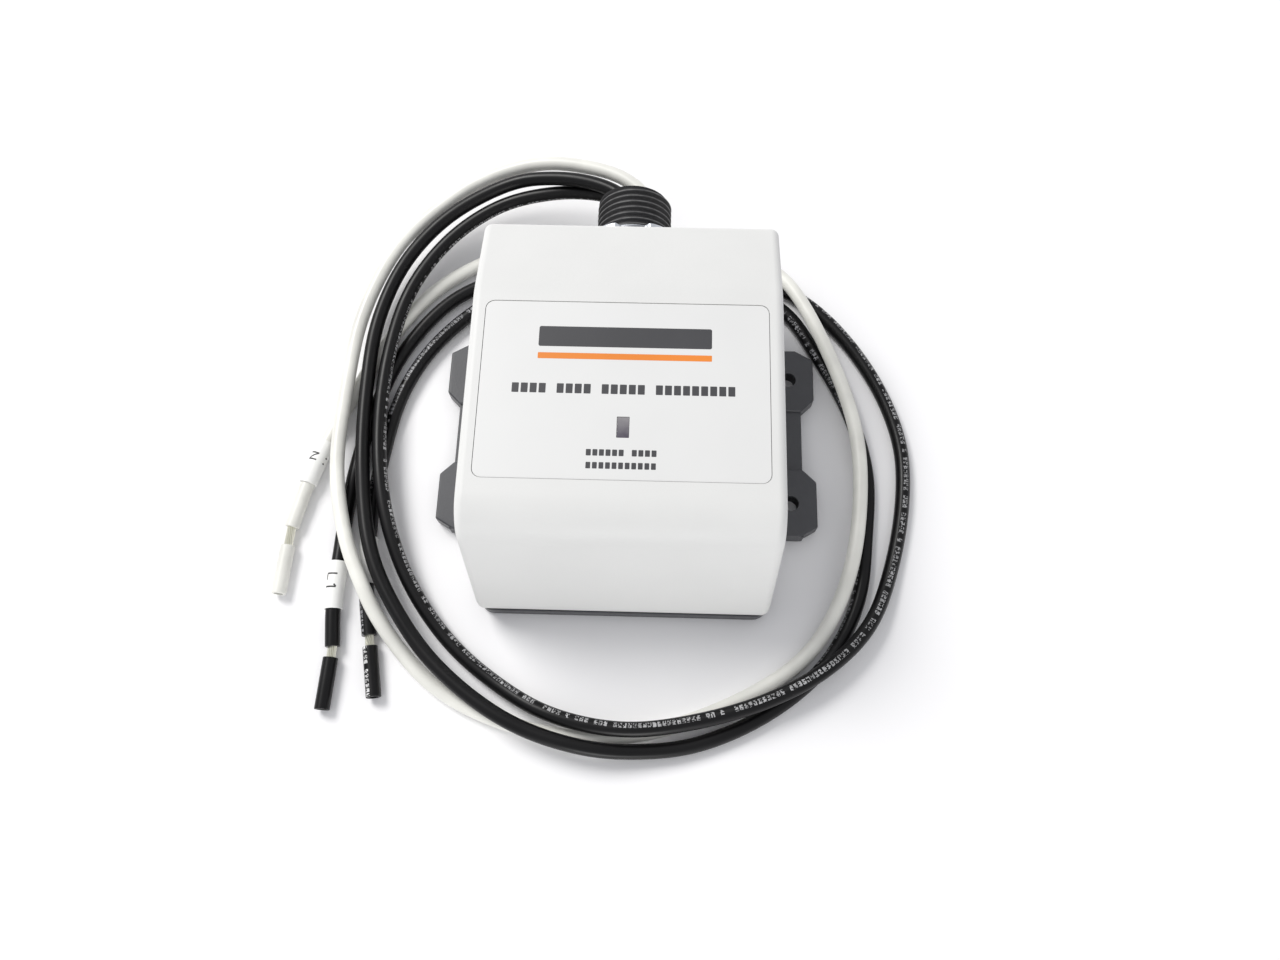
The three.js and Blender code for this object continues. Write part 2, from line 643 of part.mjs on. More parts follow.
for (const [name, points] of Object.entries(ROUTES)) {
  const { sleeveBack, bare, heading } = LEAD_ENDS[name];
  const jacket = name === 'n' ? FINISH.whiteWire : FINISH.blackWire;
  const ahead = new THREE.Vector3(...heading, 0).normalize();
  const tip = new THREE.Vector3(...points.at(-1)).addScaledVector(ahead, GAP);
  const slugStart = tip.clone().addScaledVector(ahead, bare);

  addPart(`lead_${name}`, jacketTube(points, LEAD.steps), jacket);
  addPart(`marker_sleeve_${name}`, markerSleeve(points, sleeveBack), FINISH.sleeve);
  addPart(`bare_strands_${name}`, straight(tip, ahead, bare + STRAND.inSlug, STRAND.radius),
    FINISH.tinned);
  addPart(`strip_slug_${name}`, straight(slugStart, ahead, SLUG.length, LEAD.radius, SLUG.bore),
    jacket);
}

export default protector;
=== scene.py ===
import json
import math
import random

import bmesh
import bpy
from mathutils import Matrix, Vector


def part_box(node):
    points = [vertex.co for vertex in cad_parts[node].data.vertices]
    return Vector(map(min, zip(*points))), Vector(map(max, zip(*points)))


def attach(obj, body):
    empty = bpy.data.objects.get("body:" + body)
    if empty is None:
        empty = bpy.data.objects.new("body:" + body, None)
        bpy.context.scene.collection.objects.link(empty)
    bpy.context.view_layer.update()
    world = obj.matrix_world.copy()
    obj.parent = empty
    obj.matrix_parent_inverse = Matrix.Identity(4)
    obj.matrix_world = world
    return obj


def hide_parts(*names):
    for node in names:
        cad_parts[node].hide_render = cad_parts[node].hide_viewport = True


# Looks of the whole house surge protector. Shapes are in millimetres and turned into metres where
# they are made; X is to the right, Y towards the nipple, Z out of the front of the cover.

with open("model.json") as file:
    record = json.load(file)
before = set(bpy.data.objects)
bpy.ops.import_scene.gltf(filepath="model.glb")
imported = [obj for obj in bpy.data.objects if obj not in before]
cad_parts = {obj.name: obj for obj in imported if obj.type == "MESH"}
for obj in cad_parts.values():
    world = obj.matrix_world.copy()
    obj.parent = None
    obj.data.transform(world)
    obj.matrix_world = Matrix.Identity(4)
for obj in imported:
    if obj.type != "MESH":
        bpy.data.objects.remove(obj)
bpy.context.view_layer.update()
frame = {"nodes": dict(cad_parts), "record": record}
MM = 0.001
random.seed(7)


def box_mm(node):
    """The lowest and highest corner of a CAD node, in millimetres."""
    low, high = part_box(node)
    return low / MM, high / MM


# ---------------------------------------------------------------- driving sizes

COVER_LOW, COVER_HIGH = box_mm("front_cover")
LABEL_LOW, LABEL_HIGH = box_mm("label_panel")
WINDOW_LOW, WINDOW_HIGH = box_mm("window_lens")
NIPPLE_LOW, NIPPLE_HIGH = box_mm("conduit_nipple")
NUT_LOW, NUT_HIGH = box_mm("locknut")
WASHER_LOW, WASHER_HIGH = box_mm("sealing_washer")

COVER_FOOT = COVER_LOW.z
COVER_TOP = COVER_HIGH.z
COVER_END = COVER_HIGH.y
COVER_SIDE = COVER_HIGH.x
COVER_WALL = 2.4
GAP = 0.3
PAST = 3  # how far a cutting solid runs past the face that it cuts

# The bends of the cover's side profile, each with the radius of its round.
BEND_Z, BEND_ROUND = 9, 8  # the leaning lower wall meets the upright foot
BROW_Y, BROW_ROUND = -37.9, 11  # the leaning lower wall meets the top
CREST_Y, CREST_ROUND = 24, 18  # the top starts to slope down towards the nipple
BRINK_Z, BRINK_ROUND = 42.2, 2.2  # the slope meets the upright wall round the nipple
INNER_TIGHTER = 2  # how much smaller the rounds inside the wall are
INNER_BRINK_ROUND = 1
SIDE_ROUND = 2.2  # of the cover's long edges

# Width, height and corner radius.
LABEL_RECESS, RECESS_DEPTH = (69.7, 46.5, 2.3), 0.8
LABEL_SHEET = (69.45, 46.25, 2.2)
WINDOW_HOLE, WINDOW_DEPTH = (3.0, 5.4, 0.15), 6
WINDOW_GLASS = (2.9, 5.3, 0.12)

LABEL_Y = (LABEL_LOW.y + LABEL_HIGH.y) / 2
WINDOW_Y = (WINDOW_LOW.y + WINDOW_HIGH.y) / 2

AXIS_Z = 20.0  # height of the nipple's axis
THREAD_RADIUS = 10.5
THREAD_DEPTH = 0.85
THREAD_PITCH = 1.814
THREAD_RUN_IN = 1.5  # length over which the thread fades in
MOUTH_CHAMFER = 0.5
NIPPLE_BORE = 7.9
NIPPLE_HOLE = 10.8  # radius of the hole in the cover
COLLAR_RADIUS, COLLAR_START, COLLAR_END, THREAD_START = 13, 40.7, 43.6, 43.7
WASHER_INNER, WASHER_OUTER, WASHER_EDGE = 10.8, 13.5, 0.3
NUT_BORE, NUT_RIM, NUT_LUG = 10.75, 13.1, 14.6

BASE_THICK = 4.2
EAR_TOP = 5.0
EAR_SPANS = ((11.7, 30.7), (-5.9, -25.3))  # inner and outer end of the upper and lower ears
EAR_X, STRIP_X, EAR_SHOULDER_X = 52.2, 48.5, 47.2
EAR_OUTER_CUT, EAR_INNER_CUT = 2.9, 3.6
STRIP_TOP_Y, STRIP_LOW_Y = 30.6, -25.2
EAR_HOLE_X = 45.0
EAR_HOLE_YS = (21.4, -15.8)
EAR_HOLE_RADIUS = 2.2
BACK_SCREWS = [(x, y) for x in (-33.0, 33.0) for y in (-41.6, 41.6)]
SCREW_SINK_RADIUS, SCREW_SINK_DEPTH, SCREW_HOLE_RADIUS = 3.2, 2.4, 1.65

WIRE_RADIUS = 1.975
WIRE_SIDES = 28
STEP = 1.0  # between the rings of a wire

# ---------------------------------------------------------------- camera


CAMERA_PLACE = (8.83, -102.65, 265.52)
CAMERA_FORWARD = (-0.0193, 0.3348, -0.9421)
CAMERA_UP = (-0.0235, 0.9418, 0.3352)
CAMERA_LENS, CAMERA_SENSOR = 28.125, 36


def make_camera():
    camera = bpy.data.objects.new("camera", bpy.data.cameras.new("camera"))
    camera.data.sensor_width = CAMERA_SENSOR
    camera.data.lens = CAMERA_LENS
    camera.data.clip_start = 0.01
    forward = Vector(CAMERA_FORWARD).normalized()
    up = Vector(CAMERA_UP).normalized()
    right = forward.cross(up).normalized()
    up = right.cross(forward)
    turn = Matrix((right, up, -forward)).transposed().to_4x4()
    camera.matrix_world = Matrix.Translation(Vector(CAMERA_PLACE) * MM) @ turn
    bpy.context.scene.collection.objects.link(camera)
    bpy.context.scene.camera = camera


make_camera()

# ---------------------------------------------------------------- mesh helpers


def make_object(name, points, faces, uvs=None):
    """A mesh object from points in millimetres; uvs is one pair for each corner of each face."""
    mesh = bpy.data.meshes.new(name)
    mesh.from_pydata([tuple(Vector(p) * MM) for p in points], [], faces)
    if uvs is not None:
        layer = mesh.uv_layers.new(name="wire")
        layer.data.foreach_set("uv", [value for pair in uvs for value in pair])
    obj = bpy.data.objects.new(name, mesh)
    bpy.context.scene.collection.objects.link(obj)
    return obj


def apply_modifiers(obj):
    graph = bpy.context.evaluated_depsgraph_get()
    mesh = bpy.data.meshes.new_from_object(obj.evaluated_get(graph))
    obj.modifiers.clear()
    old = obj.data
    obj.data = mesh
    bpy.data.meshes.remove(old)


def bevel(obj, width, segments, angle=50):
    """Rounds the edges that turn by more than an angle."""
    modifier = obj.modifiers.new("bevel", "BEVEL")
    modifier.width = width * MM
    modifier.segments = segments
    modifier.limit_method = "ANGLE"
    modifier.angle_limit = math.radians(angle)
    modifier.use_clamp_overlap = True
    apply_modifiers(obj)


def combine(obj, others, operation):
    """Adds the others to the solid, or cuts them out of it."""
    for other in others:
        modifier = obj.modifiers.new("combine", "BOOLEAN")
        modifier.operation = operation
        modifier.solver = "EXACT"
        modifier.object = other
        apply_modifiers(obj)
        bpy.data.objects.remove(other)


def shade(obj, angle=32):
    """Smooth shading with sharp edges kept, and large faces left flat."""
    obj.data.shade_smooth()
    obj.data.set_sharp_from_angle(angle=math.radians(angle))
    modifier = obj.modifiers.new("normals", "WEIGHTED_NORMAL")
    modifier.keep_sharp = True


def rounded(corners, steps=8):
    """A closed outline through corners (a, b, radius), each rounded by an arc of that radius."""
    points = []
    for i, (a, b, radius) in enumerate(corners):
        corner = Vector((a, b))
        if radius == 0:
            points.append(corner)
            continue
        before = (Vector(corners[i - 1][:2]) - corner).normalized()
        after = (Vector(corners[(i + 1) % len(corners)][:2]) - corner).normalized()
        half = before.angle(after) / 2
        centre = corner + (before + after).normalized() * radius / math.sin(half)
        arm = corner + before * radius / math.tan(half) - centre
        sweep = (math.pi - 2 * half) * (1 if before.cross(after) < 0 else -1)
        for step in range(steps + 1):
            turn = Matrix.Rotation(sweep * step / steps, 2)
            points.append(centre + turn @ arm)
    return points


def rectangle(width, height, radius, x=0.0, y=0.0):
    a, b = width / 2, height / 2
    corners = [(-a, -b, radius), (a, -b, radius), (a, b, radius), (-a, b, radius)]
    return rounded([(x + u, y + v, r) for u, v, r in corners], 5)


def circle(radius, sides, x=0.0, y=0.0):
    angles = [2 * math.pi * i / sides for i in range(sides)]
    return [(x + radius * math.cos(angle), y + radius * math.sin(angle)) for angle in angles]


def prism(name, outline, low, high, place=lambda a, b, c: (a, b, c)):
    """An outline made solid between two heights; place turns (a, b, height) into a point."""
    turn = sum(Vector(a).cross(Vector(b)) for a, b in zip(outline, outline[1:] + outline[:1]))
    outline = outline if turn > 0 else outline[::-1]
    count = len(outline)
    points = [place(a, b, c) for c in (low, high) for a, b in outline]
    faces = [tuple(reversed(range(count))), tuple(range(count, 2 * count))]
    faces += [(i, (i + 1) % count, count + (i + 1) % count, count + i) for i in range(count)]
    obj = make_object(name, points, faces)
    fix_normals(obj)
    return obj


def fix_normals(obj):
    work = bmesh.new()
    work.from_mesh(obj.data)
    bmesh.ops.recalc_face_normals(work, faces=work.faces)
    work.to_mesh(obj.data)
    work.free()


def lathe(name, profile, sides, place):
    """A closed ring profile of (radius, distance) turned about an axis; place(a, b, distance)."""
    count = len(profile)
    points = []
    for i in range(sides):
        angle = 2 * math.pi * i / sides
        points += [place(r * math.cos(angle), r * math.sin(angle), d) for r, d in profile]
    faces = []
    for i in range(sides):
        for j in range(count):
            a, b = i * count + j, i * count + (j + 1) % count
            step = count if i < sides - 1 else -i * count
            faces.append((a, b, b + step, a + step))
    obj = make_object(name, points, faces)
    fix_normals(obj)
    return obj


def about_nipple(a, b, distance):
    """A point beside the nipple's axis, at a distance along Y."""
    return (a, distance, AXIS_Z + b)


# ---------------------------------------------------------------- materials


class Nodes:
    """A small writer of node materials."""

    def __init__(self, name):
        self.material = bpy.data.materials.new(name)
        self.material.use_nodes = True
        self.tree = self.material.node_tree
        self.shader = self.tree.nodes["Principled BSDF"]

    def add(self, kind, **values):
        node = self.tree.nodes.new("ShaderNode" + kind)
        for name, value in values.items():
            setattr(node, name, value)
        return node

    def link(self, output, socket):
        self.tree.links.new(output, socket)

    def feed(self, node, name, value):
        """Sets a socket to a number or colour, or links it to another node's output."""
        socket = node.inputs[name]
        if isinstance(value, bpy.types.NodeSocket):
            self.link(value, socket)
        else:
            socket.default_value = value

    def math(self, operation, *values, clamp=False):
        node = self.add("Math", operation=operation, use_clamp=clamp)
        for i, value in enumerate(values):
            self.feed(node, i, value)
        return node.outputs[0]

    def noise(self, scale, detail=2.0, vector=None, distortion=0.0):
        node = self.add("TexNoise")
        self.feed(node, "Scale", scale)
        self.feed(node, "Detail", detail)
        self.feed(node, "Distortion", distortion)
        self.feed(node, "Vector", vector or self.place())
        return node.outputs["Fac"]

    def place(self):
        """The point's own place on the object, in metres."""
        return self.add("TexCoord").outputs["Object"]

    def parts(self, vector):
        node = self.add("SeparateXYZ")
        self.link(vector, node.inputs[0])
        return node.outputs

    def spread(self, value, low, high, from_low=0.3, from_high=0.7):
        """Carries a noise value to a range."""
        node = self.add("MapRange")
        for name, number in zip(("From Min", "From Max", "To Min", "To Max"),
                                (from_low, from_high, low, high)):
            node.inputs[name].default_value = number
        self.link(value, node.inputs["Value"])
        return node.outputs[0]

    def blend(self, factor, first, second):
        node = self.add("Mix", data_type="RGBA")
        self.feed(node, 0, factor)
        self.feed(node, 6, first)
        self.feed(node, 7, second)
        return node.outputs[2]

    def bump(self, height, distance, strength=1.0, normal=None):
        node = self.add("Bump")
        self.feed(node, "Height", height)
        node.inputs["Distance"].default_value = distance * MM
        node.inputs["Strength"].default_value = strength
        if normal is not None:
            self.link(normal, node.inputs["Normal"])
        return node.outputs[0]

    def shade(self, **values):
        for name, value in values.items():
            self.feed(self.shader, name.replace("_", " "), value)


def tone(colour, factor):
    return (*[min(1.0, part * factor) for part in colour], 1)


def plain_surface(name, colour, roughness, grain_size=0.6, grain_depth=0.02, metal=0.0,
                  mottle=0.06, coat=0.0):
    """A surface with a fine grain, a slow change of tone and uneven gloss. Sizes in mm."""
    nodes = Nodes(name)
    slow = nodes.noise(0.05 / MM, 3)
    fine = nodes.noise(1 / (grain_size * MM), 2)
    colours = nodes.blend(nodes.spread(slow, 0, 1), tone(colour, 1 - mottle),
                          tone(colour, 1 + mottle))
    nodes.shade(Base_Color=colours, Metallic=metal, Coat_Weight=coat)
    nodes.shade(Roughness=nodes.spread(slow, roughness * 0.9, roughness * 1.1))
    nodes.shade(Normal=nodes.bump(fine, grain_depth))
    return nodes


def paint(obj, material):
    obj.data.materials.clear()
    obj.data.materials.append(material)
    return obj


# ---------------------------------------------------------------- the leads' routes

REST = 2.2  # height of a lead that lies on the surface
OVER = 6.5  # over one lead
HIGH = 7.2  # over a marker sleeve

ROUTES = {
    "n": [
        (5.2, 61.4, 20), (4.6, 67.4, 20.1), (2, 73, 20.2), (-3.4, 77.8, 20), (-10.9, 81.4, 19.2),
        (-28.1, 84.8, 17), (-46.3, 81.4, 13), (-61.1, 71.3, 10), (-70.6, 60.5, 8.5),
        (-78.8, 39, 6.9), (-80.9, 14.9, OVER), (-80.5, -9.3, OVER), (-75.5, -28.9, HIGH),
        (-70.2, -40.6, HIGH), (-64.1, -51.3, 5.4), (-50.2, -66.4, REST), (-36.2, -74, REST),
        (-17.8, -78.7, REST), (2.5, -78.7, REST), (22.8, -72.8, REST), (43, -61.8, REST),
        (52.1, -52.7, 3.2), (59.7, -36.5, 6), (63.6, -15.4, OVER), (63.4, 4.7, OVER),
        (57.3, 27.2, OVER), (45.9, 51.3, OVER), (38.2, 58.7, 5.2), (25.2, 64, 2.6),
        (8.1, 67.3, REST), (-14, 67.6, REST), (-37.3, 63.4, REST), (-57.9, 51.2, REST),
        (-70.7, 34.4, REST), (-79.2, 16.8, REST), (-85.6, -0.3, 2.6), (-89.1, -11.4, 2.6),
        (-92.2, -25.3, REST),
    ],
    "l2": [
        (1, 61.4, 22.4), (-1, 67.2, 22.4), (-5.8, 72, 22), (-13.8, 75.9, 20.8),
        (-24, 78.4, 18.8), (-36.1, 78.6, 16.1), (-55.1, 70.1, 11.5), (-67.6, 55.9, 8.6),
        (-74.1, 37, 7.1), (-75.2, 15.9, OVER), (-73.4, -9.3, OVER), (-68.6, -31.5, HIGH),
        (-62.3, -44.6, 6.9), (-49, -61.7, OVER), (-29, -76, OVER), (-9.7, -82.1, 6),
        (5.1, -82.7, 3.6), (19.8, -80.5, REST), (38, -72.3, REST), (53.5, -59.2, REST),
        (62.5, -42.6, REST), (65.6, -23.5, REST), (66.6, -5.4, REST), (62.1, 13.6, REST),
        (52.5, 33, REST), (45.2, 44.4, REST), (34, 51.2, REST), (14.2, 53.5, REST),
        (-14, 53.5, REST), (-33.4, 51, REST), (-45.2, 44.6, REST), (-58.1, 31.2, REST),
        (-65.8, 15.8, REST), (-69.5, -5.3, REST), (-70.5, -21.5, 2.3), (-70.2, -29.5, 2.6),
        (-69.6, -40.7, 2.6), (-67.2, -54.7, REST),
    ],
    "l1": [
        (1, 61.4, 17.6), (-0.9, 68, 17.5), (-5.8, 72.9, 17.2), (-13.3, 75.1, 16.5),
        (-24, 75.8, 15.2), (-39.7, 73.4, 12.2), (-54.4, 64, 9.2), (-65.2, 47.7, 7.5),
        (-69.9, 27, OVER), (-69.9, 0.8, OVER), (-65.7, -21.4, 6.3), (-58, -39.8, 4),
        (-46.4, -55.2, 2.3), (-33.1, -66, 2.5), (-17.8, -74.2, 5.4), (1, -77.6, OVER),
        (19.8, -75.1, OVER), (38.3, -69.2, OVER), (53.2, -60.9, OVER), (64.8, -49.2, 5.2),
        (72.4, -31.5, 2.3), (76.4, -11.4, REST), (76.3, 3.6, REST), (70.9, 21.1, REST),
        (59.7, 39.2, REST), (47.8, 50.2, REST), (33.3, 56.4, REST), (14.2, 59.5, REST),
        (-14, 59.6, REST), (-34.2, 56.2, REST), (-53.2, 47.2, REST), (-66.8, 29.4, REST),
        (-73.2, 10.8, REST), (-76.5, -7.3, REST), (-77.6, -23.5, 2.3), (-77.7, -31.6, 2.6),
        (-77.8, -46.4, 2.6), (-76.6, -57.9, REST),
    ],
}


def curve_piece(before, start, end, after, share):
    """A point of a centripetal Catmull-Rom curve between start and end."""
    t0 = 0.0
    t1 = t0 + max((start - before).length, 1e-6) ** 0.5
    t2 = t1 + max((end - start).length, 1e-6) ** 0.5
    t3 = t2 + max((after - end).length, 1e-6) ** 0.5
    t = t1 + (t2 - t1) * share
    a1 = before * ((t1 - t) / (t1 - t0)) + start * ((t - t0) / (t1 - t0))
    a2 = start * ((t2 - t) / (t2 - t1)) + end * ((t - t1) / (t2 - t1))
    a3 = end * ((t3 - t) / (t3 - t2)) + after * ((t - t2) / (t3 - t2))
    b1 = a1 * ((t2 - t) / (t2 - t0)) + a2 * ((t - t0) / (t2 - t0))
    b2 = a2 * ((t3 - t) / (t3 - t1)) + a3 * ((t - t1) / (t3 - t1))
    return b1 * ((t2 - t) / (t2 - t1)) + b2 * ((t - t1) / (t2 - t1))


def smooth_line(points, step=STEP):
    """Evenly spaced points of a smooth line through the points."""
    knots = [Vector(p) for p in points]
    ends = [knots[0] * 2 - knots[1], *knots, knots[-1] * 2 - knots[-2]]
    dense = []
    for i in range(1, len(ends) - 2):
        count = max(2, int((ends[i + 1] - ends[i]).length / 0.25))
        dense += [curve_piece(*ends[i - 1:i + 3], k / count) for k in range(count)]
    dense.append(knots[-1])
    return evenly(dense, step)


def evenly(points, step):
    """The same line with points at equal distances."""
    lengths = [0.0]
    for a, b in zip(points, points[1:]):
        lengths.append(lengths[-1] + (b - a).length)
    count = max(2, round(lengths[-1] / step))
    line, j = [], 0
    for i in range(count + 1):
        want = lengths[-1] * i / count
        while j < len(points) - 2 and lengths[j + 1] < want:
            j += 1
        share = (want - lengths[j]) / max(lengths[j + 1] - lengths[j], 1e-9)
        line.append(points[j].lerp(points[j + 1], min(1.0, share)))
    return line


def relax(line, rounds=12):
    """Takes small kinks out of an evenly spaced line, with its ends kept."""
    for _ in range(rounds):
        inner = [(a + b * 2 + c) / 4 for a, b, c in zip(line, line[1:], line[2:])]
        line = [line[0], *inner, line[-1]]
    return line


def line_length(line):
    return sum((b - a).length for a, b in zip(line, line[1:]))


def frames(line, twist=None):
    """(point, side, up, distance) for each point of a line; twist(distance) turns the pair."""
    result, distance = [], 0.0
    for i, point in enumerate(line):
        if i > 0:
            distance += (point - line[i - 1]).length
        along = (line[min(i + 1, len(line) - 1)] - line[max(i - 1, 0)]).normalized()
        side = along.cross(Vector((0, 0, 1))).normalized()
        up = side.cross(along)
        if twist is not None:
            turn = Matrix.Rotation(twist(distance), 3, along)
            side, up = turn @ side, turn @ up
        result.append((point, side, up, distance))
    return result


def swept(name, rings, outer, sides, inner=0.0, rim=0.12, wobble=0.0):
    """A round tube along frames: solid with rounded ends, or hollow where inner is given.
    The UV map holds the turn about the tube and the distance along it in metres."""
    sections = [(0, outer - rim, 0.0), (0, outer, rim)]
    sections += [(i, outer, 0.0) for i in range(1, len(rings) - 1)]
    sections += [(len(rings) - 1, outer, -rim), (len(rings) - 1, outer - rim, 0.0)]
    if inner > 0:
        sections += [(i, inner, 0.0) for i in reversed(range(len(rings)))]
    points, distances = [], []
    for index, radius, shift in sections:
        point, side, up, distance = rings[index]
        along = up.cross(side)
        for k in range(sides):
            angle = 2 * math.pi * (k / sides - 0.5)
            spread = radius + random.uniform(-wobble, wobble) * (abs(shift) > 0)
            points.append(point + along * shift + up * (spread * math.cos(angle))
                          + side * (spread * math.sin(angle)))
        distances.append(distance * MM)
    faces, uvs = [], []
    count = len(sections)
    for i in range(count if inner > 0 else count - 1):
        for k in range(sides):
            a, b = i * sides + k, i * sides + (k + 1) % sides
            c = ((i + 1) % count) * sides
            faces.append((a, b, c + (k + 1) % sides, c + k))
            v0, v1 = distances[i], distances[(i + 1) % count]
            uvs += [(k / sides, v0), ((k + 1) / sides, v0), ((k + 1) / sides, v1), (k / sides, v1)]
    if inner == 0:
        last = (count - 1) * sides
        faces.append(tuple(reversed(range(sides))))
        faces.append(tuple(range(last, last + sides)))
        uvs += [(0.02, distances[0])] * sides + [(0.02, distances[-1])] * sides
    return make_object(name, points, faces, uvs)


# ---------------------------------------------------------------- wires

# Where each marker sleeve ends, measured back from the jacket's end, the bare length that shows,
# the way the strands and the slug point, and how far the legend is turned from the top side at
# the start and at the end of the lead, in degrees.
LEAD_ENDS = {
    "n": {"sleeve_back": 12.9, "bare": 5, "heading": (-0.05, -1), "legend": (150, 190)},
    "l1": {"sleeve_back": 9.7, "bare": 2.6, "heading": (-0.04, -1), "legend": (-120, 120)},
    "l2": {"sleeve_back": 13.5, "bare": 2.6, "heading": (0.19, -1), "legend": (-200, 50)},
}
SLEEVE_INNER, SLEEVE_OUTER, SLEEVE_LENGTH = 2.1, 2.5, 13.8
SLUG_TURN = math.radians(35)  # of the slugs' legend from the top side
SLUG_LENGTH, SLUG_BORE = 13.5, 1.25
STRAND_RADIUS = 0.24
STRAND_LAY = 26  # length of one turn of the strands
IN_SLUG = 9


LEGEND_HALF = 0.72  # half the height of the printed marks
LETTER_PITCH, LETTER_SHARE = 1.25, 0.74  # and how much of the pitch is printed
SPOT = 0.31  # side of the square spots that the marks are made of
SPOT_BLANK, LETTER_BLANK = 0.42, 0.14  # how many of them are left out


def legend_mask(nodes, strength, until):
    """Rows of small printed marks along the wire, up to a distance in millimetres from its
    start. They are abstract, so nothing can be read."""
    uv = nodes.add("UVMap", uv_map="wire").outputs[0]
    turn, along, _ = nodes.parts(uv)
    around = nodes.math("MULTIPLY", nodes.math("SUBTRACT", turn, 0.5),
                        2 * math.pi * WIRE_RADIUS * MM)
    band = nodes.math("LESS_THAN", nodes.math("ABSOLUTE", around), LEGEND_HALF * MM)
    letter = nodes.math("DIVIDE", along, LETTER_PITCH * MM)
    in_letter = nodes.math("LESS_THAN", nodes.math("FRACT", letter), LETTER_SHARE)
    cell = nodes.add("CombineXYZ")
    for i, distance in enumerate((along, around)):
        nodes.link(nodes.math("FLOOR", nodes.math("DIVIDE", distance, SPOT * MM)), cell.inputs[i])
    spots = nodes.add("TexWhiteNoise", noise_dimensions="2D")
    nodes.link(cell.outputs[0], spots.inputs["Vector"])
    inked = nodes.math("GREATER_THAN", spots.outputs["Value"], SPOT_BLANK)
    word = nodes.add("TexWhiteNoise", noise_dimensions="1D")
    nodes.link(nodes.math("FLOOR", letter), word.inputs["W"])
    in_word = nodes.math("GREATER_THAN", word.outputs["Value"], LETTER_BLANK)
    mask = nodes.math("MULTIPLY", nodes.math("MULTIPLY", band, in_letter),
                      nodes.math("MULTIPLY", inked, in_word))
    worn = nodes.spread(nodes.noise(0.35 / MM), 0.35, 1.0)
    within = nodes.math("LESS_THAN", along, until * MM)
    return nodes.math("MULTIPLY", nodes.math("MULTIPLY", mask, worn),
                      nodes.math("MULTIPLY", within, strength))


def wire_material(name, colour, ink, roughness, strength, until=1000.0):
    nodes = Nodes(name)
    slow = nodes.noise(0.06 / MM, 3)
    fine = nodes.noise(1.6 / MM, 2)
    jacket = nodes.blend(nodes.spread(slow, 0, 1), tone(colour, 0.88), tone(colour, 1.12))
    mask = legend_mask(nodes, strength, until)
    nodes.shade(Base_Color=nodes.blend(mask, jacket, ink), Coat_Weight=0.08)
    nodes.shade(Roughness=nodes.spread(slow, roughness * 0.8, roughness * 1.25))
    nodes.shade(Specular_IOR_Level=0.5 if colour == CREAM else 0.24)
    nodes.shade(Normal=nodes.bump(fine, 0.012))
    nodes.shader.inputs["Coat Roughness"].default_value = 0.22
    return nodes.material


BLACK = (0.0035, 0.0033, 0.0038)
GREY_PRINT = (0.42, 0.42, 0.44, 1)
PALE_PRINT = (0.54, 0.54, 0.55, 1)
WHITE_PRINT = (0.85, 0.85, 0.85, 1)
CREAM = (0.79, 0.785, 0.735)

# The legend shows on l1 up to its last stretch, all along l2, and boldly on l2's slug.
WIRES = {
    "n": wire_material("white_wire", CREAM, GREY_PRINT, 0.4, 0.0),
    "l1": wire_material("black_wire_l1", BLACK, PALE_PRINT, 0.38, 0.9, until=596),
    "l2": wire_material("black_wire_l2", BLACK, GREY_PRINT, 0.38, 0.8),
}
SLUGS = {
    "n": WIRES["n"],
    "l1": wire_material("black_slug_l1", BLACK, GREY_PRINT, 0.38, 0.0),
    "l2": wire_material("black_slug_l2", BLACK, WHITE_PRINT, 0.38, 1.0),
}


def strand_material():
    nodes = plain_surface("tinned_copper", (0.80, 0.79, 0.68), 0.3, 0.3, 0.008, metal=1.0,
                          mottle=0.14)
    return nodes.material


def sleeve_material():
    return plain_surface("sleeve_plastic", (0.88, 0.88, 0.86), 0.42, 0.5, 0.01,
                         mottle=0.02).material


MARK_INK = plain_surface("mark_ink", (0.02, 0.02, 0.022), 0.5, 0.3, 0.005, mottle=0.1).material
STRANDS = strand_material()
SLEEVE = sleeve_material()


def straight_line(start, heading, length, step=0.5):
    count = max(2, round(length / step))
    return [start + heading * (length * i / count) for i in range(count + 1)]


def strand_bundle(name, start, heading, length):
    """Nineteen fine wires twisted together: one in the middle, then six and twelve."""
    side = heading.cross(Vector((0, 0, 1))).normalized()
    up = side.cross(heading)
    layers = [(1, 0.0), (6, 2.02 * STRAND_RADIUS), (12, 3.9 * STRAND_RADIUS)]
    pieces = []
    for count, radius in layers:
        for k in range(count):
            line = []
            for point in straight_line(start, heading, length, 0.7):
                angle = 2 * math.pi * (k / count + (point - start).length / STRAND_LAY)
                line.append(point + side * (radius * math.cos(angle))
                            + up * (radius * math.sin(angle)))
            rings = frames(line)
            pieces.append(swept(f"{name}_{count}_{k}", rings, STRAND_RADIUS, 8, rim=0.06))
    return join(name, pieces)


def join(name, pieces):
    """One mesh object from several."""
    work = bmesh.new()
    for piece in pieces:
        work.from_mesh(piece.data)
        bpy.data.objects.remove(piece)
    mesh = bpy.data.meshes.new(name)
    work.to_mesh(mesh)
    work.free()
    obj = bpy.data.objects.new(name, mesh)
    bpy.context.scene.collection.objects.link(obj)
    return obj


# The marks on the sleeves, as strokes from point to point. Each point is (up, along): along
# the lead from the sleeve's start, and up the letter, which is to the lead's right side. The
# shift carries the mark to the lead's left side.
MARKS = {
    "n": (1.0, [((-1.4, 5.0), (1.4, 5.0)), ((1.4, 5.0), (-1.4, 7.0)), ((-1.4, 7.0), (1.4, 7.0)),
                ((3.7, 5.4), (4.2, 5.7)), ((3.5, 7.2), (4.0, 7.4))]),
    "l1": (0.6, [((-1.5, 4.2), (1.5, 4.2)), ((-1.5, 4.2), (-1.5, 5.9)),
                 ((-1.5, 7.8), (1.5, 7.8)), ((1.5, 7.8), (0.9, 7.1))]),
}
MARK_WIDTH = 0.42


